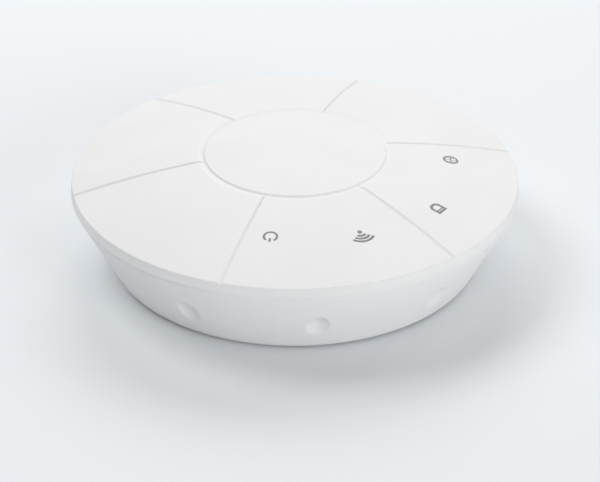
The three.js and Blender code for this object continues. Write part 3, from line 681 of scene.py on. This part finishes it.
# housing
housingShape = {
    "footEdge": 72.5 * mm, "filletReach": 2.75 * mm, "filletHeight": 2.6 * mm, "wall": 2.4 * mm,
    "seam": 0.14 * mm, "cadSeam": 0.4 * mm, "bottom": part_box("side_housing")[0][2],
    "topRadius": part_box("side_housing")[1][0], "tongueTop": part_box("side_housing")[1][2],
    "tongueWall": 2 * mm, "tongueOuter": 86.9 * mm,
    "flangeInner": 65.5 * mm, "flangeBottom": 3.3 * mm, "flangeTop": 5.3 * mm, "plateEdge": 68.3 * mm,
    "dimpleCount": 10, "dimpleFirst": 24, "dimpleHeight": 14.5 * mm, "dimpleRadius": 4.7 * mm,
    "dimpleStretch": 1.35, "dimpleDepth": 1.65 * mm, "dimpleLip": 0.1, "columns": 900,
    "edgeRadius": 0.5 * mm, "inwardDrop": 4 * mm,
}


def makeHousing():
    s = housingShape
    shoulder = skirtBottom - s["seam"]
    rise = s["cadSeam"] - s["seam"]
    filletTop = (s["footEdge"] + s["filletReach"], s["bottom"] + s["filletHeight"])
    slope = (s["topRadius"] - filletTop[0]) / (shoulder - rise - filletTop[1])
    corner = (filletTop[0] - slope * s["filletHeight"], s["bottom"])
    fillet = []
    for t in spread(0, 1, 12):
        a, b, c = (1 - t) ** 2, 2 * t * (1 - t), t * t
        fillet.append((a * s["footEdge"] + b * corner[0] + c * filletTop[0],
                       a * s["bottom"] + b * corner[1] + c * filletTop[1]))
    thick = s["wall"] * math.hypot(1, slope)

    def wallRadius(height):
        return s["topRadius"] - (shoulder - rise - height) * slope

    heights = spread(filletTop[1], 7 * mm, 5)[1:] + spread(7.4 * mm, 22 * mm, 36)
    heights += spread(22.8 * mm, shoulder - rise - 0.3 * mm, 9)
    wall = [(wallRadius(h), h) for h in heights]
    bend = s["edgeRadius"]
    edge = arc((wall[-1][0] - bend, shoulder - bend), bend, -8, 90, 6)
    outline = [(s["flangeInner"], s["flangeBottom"]), (s["plateEdge"], s["flangeBottom"]),
               (s["plateEdge"], s["bottom"] + 0.2 * mm), (s["plateEdge"] + 0.2 * mm, s["bottom"])]
    outline += fillet + wall + edge
    outline += [(s["tongueOuter"], shoulder), (s["tongueOuter"], s["tongueTop"] - 0.3 * mm),
                (s["tongueOuter"] - 0.3 * mm, s["tongueTop"]),
                (s["tongueOuter"] - s["tongueWall"], s["tongueTop"]),
                (s["tongueOuter"] - s["tongueWall"], shoulder - 2 * mm),
                (wallRadius(shoulder - s["inwardDrop"]) - thick, shoulder - s["inwardDrop"]),
                (wallRadius(s["flangeTop"] + 1 * mm) - thick, s["flangeTop"] + 1 * mm),
                (wallRadius(s["flangeTop"]) - thick - 1 * mm, s["flangeTop"]),
                (s["flangeInner"], s["flangeTop"])]
    piece, rings = turned("housingShell", outline, s["columns"], whitePlastic)
    pressed = [1.0 if point in wall else 0.0 for point in outline]
    markRows(piece, rings, "rowPress", pressed)
    grown(piece, pressedDimples, {
        "Dimple Count": s["dimpleCount"], "First Angle": math.radians(s["dimpleFirst"]),
        "Height": s["dimpleHeight"], "Dimple Radius": s["dimpleRadius"], "Depth": s["dimpleDepth"],
        "Stretch": s["dimpleStretch"], "Lip": s["dimpleLip"], "Wall Tilt": math.atan(slope),
        "Material": whitePlastic})
    return smoothed(piece)


housingShell = makeHousing()
finished(housingShell, "housing", "white_plastic", "side_housing")
print("housing:", len(housingShell.data.polygons), "faces")


# printed icons; each is drawn flat with +Y outwards from the centre, then laid on the dome
iconShape = {"lift": 0.02 * mm, "sink": 0.08 * mm, "layerStep": 0.002 * mm}
iconPlaces = {  # circle radius, angle
    "powerIcon": (62.1 * mm, 261.4), "wirelessIcon": (65.4 * mm, 292.9),
    "portIcon": (67.1 * mm, 325.3), "globeIcon": (62.4 * mm, 359.8),
}


def bow(centre, radii, fromAngle, toAngle, steps=32):
    turns = [math.radians(fromAngle + (toAngle - fromAngle) * i / steps) for i in range(steps + 1)]
    return [(centre[0] + radii[0] * math.cos(t), centre[1] + radii[1] * math.sin(t)) for t in turns]


def strokeEdges(path, width):
    # left and right edges of a line of even width, mitred at its corners
    closed = math.dist(path[0], path[-1]) < 1e-7
    points = [Vector(p) for p in (path[:-1] if closed else path)]
    edges = []
    for i, point in enumerate(points):
        before = points[i - 1] if closed or i else point
        after = points[(i + 1) % len(points)] if closed or i < len(points) - 1 else point
        into = (point - before).normalized() if before != point else (after - point).normalized()
        out = (after - point).normalized() if after != point else into
        normal = Vector((-(into + out).y, (into + out).x)).normalized()
        reach = width / 2 / max(0.4, normal.dot(Vector((-out.y, out.x))))
        edges.append((point + normal * reach, point - normal * reach))
    return edges, closed


def makeIcon(name, lines, dots=()):
    circle, angle = iconPlaces[name]
    outward = Vector((math.cos(math.radians(angle)), math.sin(math.radians(angle))))
    right = Vector((outward.y, -outward.x))
    points, faces = [], []

    def laid(flat, step):
        spot = outward * (circle + flat[1]) + right * flat[0]
        points.append((spot.x, spot.y, domeHeight(spot.length) + step))
        return len(points) - 1

    for order, (path, width) in enumerate(lines):
        edges, closed = strokeEdges(path, width)
        top, under = iconShape["lift"] - order * iconShape["layerStep"], -iconShape["sink"]
        rings = [(laid(l, top), laid(r, top), laid(r, under), laid(l, under)) for l, r in edges]
        for one, two in zip(rings, rings[1:] + rings[:1] if closed else rings[1:]):
            for k in range(4):
                m = (k + 1) % 4
                faces.append((one[k], one[m], two[m], two[k]))
        if not closed:
            faces += [tuple(reversed(rings[0])), rings[-1]]
    for centre, radius in dots:
        rim = bow(centre, (radius, radius), 0, 345, 23)
        above = [laid(p, iconShape["lift"]) for p in rim]
        below = [laid(p, -iconShape["sink"]) for p in rim]
        faces += [tuple(above), tuple(reversed(below))]
        for k in range(len(rim)):
            m = (k + 1) % len(rim)
            faces.append((above[k], below[k], below[m], above[m]))
    return finished(pieceFrom(name, points, faces, iconInk), "housing", "icon_ink")


def ring(centre, radius, fromAngle=0, toAngle=360):
    return bow(centre, (radius, radius), fromAngle, toAngle)


makeIcon("powerIcon", [
    (ring((0, 0), 2.5 * mm, 126, 414), 0.92 * mm),
    ([(0, 0.9 * mm), (0, 2.95 * mm)], 0.92 * mm),
])
makeIcon("wirelessIcon", [
    (ring((0, -2.7 * mm), radius * mm, start, 180 - start), 1.08 * mm)
    for radius, start in ((2.3, 44), (3.9, 42), (5.5, 40))
], [((0, -2.6 * mm), 0.95 * mm)])
makeIcon("portIcon", [
    ([(-2.1 * mm, 2.1 * mm), (2.1 * mm, 2.1 * mm), (2.1 * mm, -1.4 * mm), (1.6 * mm, -1.6 * mm),
      (1.35 * mm, -2.2 * mm), (0.9 * mm, -2.4 * mm), (-0.9 * mm, -2.4 * mm), (-1.35 * mm, -2.2 * mm),
      (-1.6 * mm, -1.6 * mm), (-2.1 * mm, -1.4 * mm), (-2.1 * mm, 2.1 * mm)], 1.1 * mm),
    ([(-1.6 * mm, 0.95 * mm), (1.6 * mm, 0.95 * mm)], 0.6 * mm),
])
makeIcon("globeIcon", [
    (ring((0, 0), 2.7 * mm), 0.88 * mm),
    (ring((-3.9 * mm, 0), 2.6 * mm, -43, 43), 0.4 * mm),
    (ring((3.9 * mm, 0), 2.6 * mm, 137, 223), 0.4 * mm),
    ([(-2.6 * mm, 0), (2.6 * mm, 0)], 0.4 * mm),
    ([(0, -2.6 * mm), (0, 2.6 * mm)], 0.4 * mm),
])
print("icons:", len(iconPlaces))


# rubber feet
footShape = {
    "radius": 7 * mm, "circle": 58 * mm, "first": 45, "hollow": 0.25 * mm, "hollowEdge": 2.6 * mm,
    "rim": 2.3 * mm, "bottomBend": 0.5 * mm, "topBend": 0.2 * mm,
}


def makeFeet():
    s = footShape
    low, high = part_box("rubber_foot_1")[0][2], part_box("rubber_foot_1")[1][2]
    r, bend, topBend = s["radius"], s["bottomBend"], s["topBend"]
    outline = [(0, low + s["hollow"]), (r - s["hollowEdge"], low + s["hollow"]), (r - s["rim"], low)]
    outline += arc((r - bend, low + bend), bend, -90, 0, 6)
    outline += arc((r - topBend, high - topBend), topBend, 0, 90, 3) + [(0, high)]
    piece = turned("rubberFeet", outline, 64, footRubber)[0]
    return copiedRound(piece, s, footRubber)


finished(makeFeet(), "housing", "foot_rubber", *[f"rubber_foot_{i}" for i in range(1, 5)])


# screws, all pan heads with a cross recess
caseScrewShape = {
    "head": 2.9 * mm, "headHeight": 2.2 * mm, "shaft": 1.45 * mm, "length": 14 * mm, "pitch": 1.1 * mm,
    "circle": 58 * mm, "first": 45, "shoulder": 17 * mm, "headDown": True,
}
boardScrewShape = {
    "head": 2.7 * mm, "headHeight": 1.8 * mm, "shaft": 1.3 * mm, "length": 8.6 * mm, "pitch": 0.9 * mm,
    "circle": 54 * mm, "first": 10, "shoulder": 28.6 * mm, "headDown": False,
}
screwShares = {  # of the head's height or radius, or of the shaft's radius
    "dome": 0.62, "neck": 0.8, "root": 0.78, "slotReach": 0.58, "slotHalf": 0.13, "slotFloor": 0.45,
}


def cutBox(name, low, high):
    x0, y0, z0 = low
    x1, y1, z1 = high
    points = [(x, y, z) for z in (z0, z1) for y in (y0, y1) for x in (x0, x1)]
    faces = [(0, 2, 3, 1), (4, 5, 7, 6), (0, 1, 5, 4), (2, 6, 7, 3), (0, 4, 6, 2), (1, 3, 7, 5)]
    return pieceFrom(name, points, faces, zincPlate)


def cutAway(piece, cutters):
    for cutter in cutters:
        tool = piece.modifiers.new("cut", "BOOLEAN")
        tool.operation = "DIFFERENCE"
        tool.solver = "EXACT"
        tool.object = cutter
    baked(piece)
    for cutter in cutters:
        bpy.data.objects.remove(cutter)
    return piece


def makeScrews(name, s, material):
    head, tall, shaft, share = s["head"], s["headHeight"], s["shaft"], screwShares
    chamfer = 0.15 * mm
    outline = [(0, -tall)]
    for turn in (20, 38, 52, 64, 74, 82, 90):
        t = math.radians(turn)
        outline.append((head * math.sin(t), -tall + tall * share["dome"] * (1 - math.cos(t))))
    outline += [(head, -chamfer), (head - chamfer, 0), (shaft * share["neck"], 0)]
    height, root = 0.3 * mm, shaft * share["root"]
    while height + s["pitch"] < s["length"] - shaft:
        outline += [(root, height), (shaft, height + s["pitch"] * 0.5)]
        outline.append((root, height + s["pitch"] * 0.9))
        height += s["pitch"]
    outline += [(root, s["length"] - shaft), (chamfer, s["length"]), (0, s["length"])]
    piece = turned(name, outline, 32, material)[0]
    reach, half, floor = head * share["slotReach"], head * share["slotHalf"], -tall * share["slotFloor"]
    cutAway(piece, [
        cutBox("slotA", (-reach, -half, -tall - mm), (reach, half, floor)),
        cutBox("slotB", (-half, -reach, -tall - mm), (half, reach, floor))])
    if not s["headDown"]:
        piece.data.transform(Matrix.Rotation(math.pi, 4, "X"))
    piece.data.transform(Matrix.Translation((0, 0, s["shoulder"])))
    return copiedRound(piece, s, material)


finished(makeScrews("caseScrews", caseScrewShape, zincPlate), "housing", "zinc_steel",
         *[f"case_screw_{i}" for i in range(1, 5)])
finished(makeScrews("boardScrews", boardScrewShape, zincPlate), "housing", "zinc_steel",
         *[f"board_screw_{i}" for i in range(1, 5)])
print("feet and screws done")


# light pipes over the status lights
lightShape = {
    "first": 261.5, "step": 32.7, "circle": 64 * mm, "radius": 2.4 * mm, "cup": 3.2 * mm,
    "recess": 1.5 * mm, "cupHeight": 3.2 * mm,
}


def makeLightPipes():
    s = lightShape
    low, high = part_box("light_pipe_1")[0][2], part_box("light_pipe_1")[1][2]
    r, cup, soft, tip = s["radius"], s["cup"], 0.2 * mm, 0.3 * mm
    inside, rim = low + s["recess"], low + s["cupHeight"]
    outline = [(0, inside), (r - soft, inside), (r, inside - soft), (r, low), (cup - soft, low),
               (cup, low + soft), (cup, rim - soft), (cup - soft, rim), (r + soft, rim),
               (r, rim + soft), (r, high - tip), (r - tip, high), (0, high)]
    piece = turned("lightPipes", outline, 48, clearPlastic)[0]
    return copiedRound(piece, s, clearPlastic)


finished(makeLightPipes(), "housing", "clear_plastic", *[f"light_pipe_{i}" for i in range(1, 5)])


# parts kept from the frame, with moulded edges: a merged copy gets a small bevel
def softened(node, name, material, body, slot, bevel, sharpFrom=30):
    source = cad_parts[node]
    piece = bpy.data.objects.new(name, source.data.copy())
    piece.data.materials.clear()
    piece.data.materials.append(material)
    scene.collection.objects.link(piece)
    work = bmesh.new()
    work.from_mesh(piece.data)
    bmesh.ops.remove_doubles(work, verts=work.verts, dist=2e-6)
    bmesh.ops.dissolve_limit(work, angle_limit=math.radians(0.5), verts=work.verts, edges=work.edges)
    work.to_mesh(piece.data)
    work.free()
    edge = piece.modifiers.new("edge", "BEVEL")
    edge.width = bevel
    edge.segments = 2
    edge.limit_method = "ANGLE"
    edge.angle_limit = math.radians(sharpFrom)
    smoothed(baked(piece), sharpFrom)
    flatten = piece.modifiers.new("flatten", "WEIGHTED_NORMAL")
    flatten.keep_sharp = True
    return finished(baked(piece), body, slot, node)


softParts = {  # node: piece, material, body, slot, bevel in mm
    "base_plate": ("baseMoulding", basePlastic, "housing", "grey_plastic", 0.2),
    "mounting_bracket": ("bracketPlate", bracketPlastic, "bracket", "grey_plastic", 0.2),
    "processor": ("processorCase", chipBlack, "housing", "chip_black", 0.15),
    "memory_chip_1": ("memoryCaseA", chipBlack, "housing", "chip_black", 0.1),
    "memory_chip_2": ("memoryCaseB", chipBlack, "housing", "chip_black", 0.1),
    "network_transformer": ("networkMagnetics", chipBlack, "housing", "chip_black", 0.4),
    "power_transformer": ("powerMagnetics", ferrite, "housing", "chip_black", 0.5),
    "power_choke_1": ("chokeA", ferrite, "housing", "chip_black", 0.6),
    "power_choke_2": ("chokeB", ferrite, "housing", "chip_black", 0.6),
    "heat_sink": ("finnedSink", sinkAluminium, "housing", "heat_aluminium", 0.15),
    "radio_shield_left": ("shieldLeft", tinnedSheet, "housing", "tinned_sheet", 0.3),
    "radio_shield_right": ("shieldRight", tinnedSheet, "housing", "tinned_sheet", 0.3),
    "lan_shell": ("jackShell", tinnedSheet, "housing", "tinned_sheet", 0.1),
    "lan_insert": ("jackInsert", chipBlack, "housing", "chip_black", 0.2),
    "power_socket": ("powerJack", chipBlack, "housing", "chip_black", 0.3),
    "reset_switch": ("resetSwitch", chipBlack, "housing", "chip_black", 0.2),
}
for node, (name, material, body, slot, bevel) in softParts.items():
    softened(node, name, material, body, slot, bevel * mm)


# capacitor cans with a crimped neck and a rounded rim
canShape = {
    "crimp": 0.35 * mm, "crimpAt": 0.22, "rim": 0.5 * mm, "dish": 0.12 * mm, "dishEdge": 0.4 * mm,
    "columns": 48,
}


def makeCan(name, node):
    low, high = [Vector(corner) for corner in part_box(node)]
    radius, tall = (high.x - low.x) / 2, high.z - low.z
    s = canShape
    neck, rim, soft = tall * s["crimpAt"], s["rim"], 0.2 * mm
    pinch = radius - s["crimp"] * 0.7
    outline = [(0, 0), (radius - soft, 0), (radius, soft), (radius, neck - 0.5 * mm)]
    outline += [(pinch, neck - soft), (radius - s["crimp"], neck), (pinch, neck + soft)]
    outline += [(radius, neck + 0.5 * mm)] + arc((radius - rim, tall - rim), rim, 0, 90, 6)
    outline += [(radius - rim - s["dishEdge"], tall - s["dish"]), (0, tall - s["dish"])]
    piece = turned(name, outline, s["columns"], sinkAluminium)[0]
    piece.data.transform(Matrix.Translation(((low.x + high.x) / 2, (low.y + high.y) / 2, low.z)))
    return finished(smoothed(piece), "housing", "heat_aluminium", node)


for i in range(1, 4):
    makeCan(f"can{i}", f"capacitor_{i}")


# eight sprung contacts in the network jack
contactShape = {
    "count": 8, "pitch": 1.02 * mm, "thick": 0.3 * mm, "reach": 9 * mm, "dip": 2.4 * mm,
    "setIn": 1.5 * mm, "flat": 2.6 * mm, "roofWall": 1.5 * mm,
}


def makeContacts():
    s = contactShape
    low, high = [Vector(corner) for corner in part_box("lan_insert")]
    roof = high.z - s["roofWall"]
    front = low.y + s["setIn"]
    path = [(front, roof - 0.2 * mm), (front + 0.8 * mm, roof - 0.5 * mm),
            (front + s["reach"], roof - s["dip"]), (front + s["reach"] + s["flat"], roof - s["dip"])]
    half = s["thick"] / 2
    square = ((-half, -half), (half, -half), (half, half), (-half, half))
    points, faces = [], []
    for y, z in path:
        points += [(x, y, z + dz) for x, dz in square]
    for i in range(len(path) - 1):
        for k in range(4):
            m = (k + 1) % 4
            faces.append((i * 4 + k, i * 4 + m, i * 4 + 4 + m, i * 4 + 4 + k))
    last = len(points) - 4
    faces += [(3, 2, 1, 0), (last, last + 1, last + 2, last + 3)]
    piece = pieceFrom("jackContacts", points, [tuple(reversed(face)) for face in faces], contactGold)
    grown(piece, copiesInRow, {"Copies": s["count"], "Pitch": s["pitch"], "Material": contactGold})
    piece.data.transform(Matrix.Translation(((low.x + high.x) / 2, 0, 0)))
    return finished(piece, "housing", "pin_brass")


makeContacts()

# parts that keep their frame shapes
keptParts = {
    "reset_button": bracketPlastic, "main_board": solderMask, "thermal_pad": thermalSilicone,
    "power_pin": contactGold,
}
for i in range(1, 5):
    keptParts[f"antenna_{i}"] = tinnedSheet
    keptParts[f"status_led_{i}"] = ledLens
for node, material in keptParts.items():
    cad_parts[node].data.materials.clear()
    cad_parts[node].data.materials.append(material)
print("inner parts done")


# floor
floorLook = {"colour": (0.8, 0.828, 0.85, 1), "half": 6.0, "roughness": 0.75, "shine": 0.1}


def makeFloor():
    half = floorLook["half"]
    points = [(-half, -half, 0), (half, -half, 0), (half, half, 0), (-half, half, 0)]
    material, _, shader = plainMaterial("paleFloor", floorLook["colour"])
    shader.inputs["Base Color"].default_value = floorLook["colour"]
    shader.inputs["Roughness"].default_value = floorLook["roughness"]
    shader.inputs["Specular IOR Level"].default_value = floorLook["shine"]
    floor = pieceFrom("floor", points, [(0, 1, 2, 3)], material)


makeFloor()


# studio light: soft lamps behind, above and in front, and a dim even room
roomLight = {"colour": (1.0, 1.0, 1.0, 1), "strength": 0.35}
lampTarget = (0, 0, 0.02)
lamps = {  # place, size, watts
    "backLamp": ((0.0, 1.6, 1.3), 1.3, 16.4),
    "backRightLamp": ((1.2, 1.1, 1.3), 1.2, 6.4),
    "upperLeftLamp": ((-1.1, 0.5, 1.7), 1.2, 15.0),
    "frontLamp": ((0.0, -1.8, 0.9), 1.2, 3.4),
    "frontRightLamp": ((1.2, -1.4, 0.55), 1.0, 12.8),
}


def makeLights():
    world = bpy.data.worlds.new("room")
    world.use_nodes = True
    scene.world = world
    background = world.node_tree.nodes["Background"]
    background.inputs["Color"].default_value = roomLight["colour"]
    background.inputs["Strength"].default_value = roomLight["strength"]
    for name, (place, size, watts) in lamps.items():
        data = bpy.data.lights.new(name, "AREA")
        data.shape = "DISK"
        data.size = size
        data.energy = watts
        lamp = bpy.data.objects.new(name, data)
        lamp.location = place
        aim = Vector(lampTarget) - Vector(place)
        lamp.rotation_euler = aim.to_track_quat("-Z", "Y").to_euler()
        scene.collection.objects.link(lamp)


makeLights()
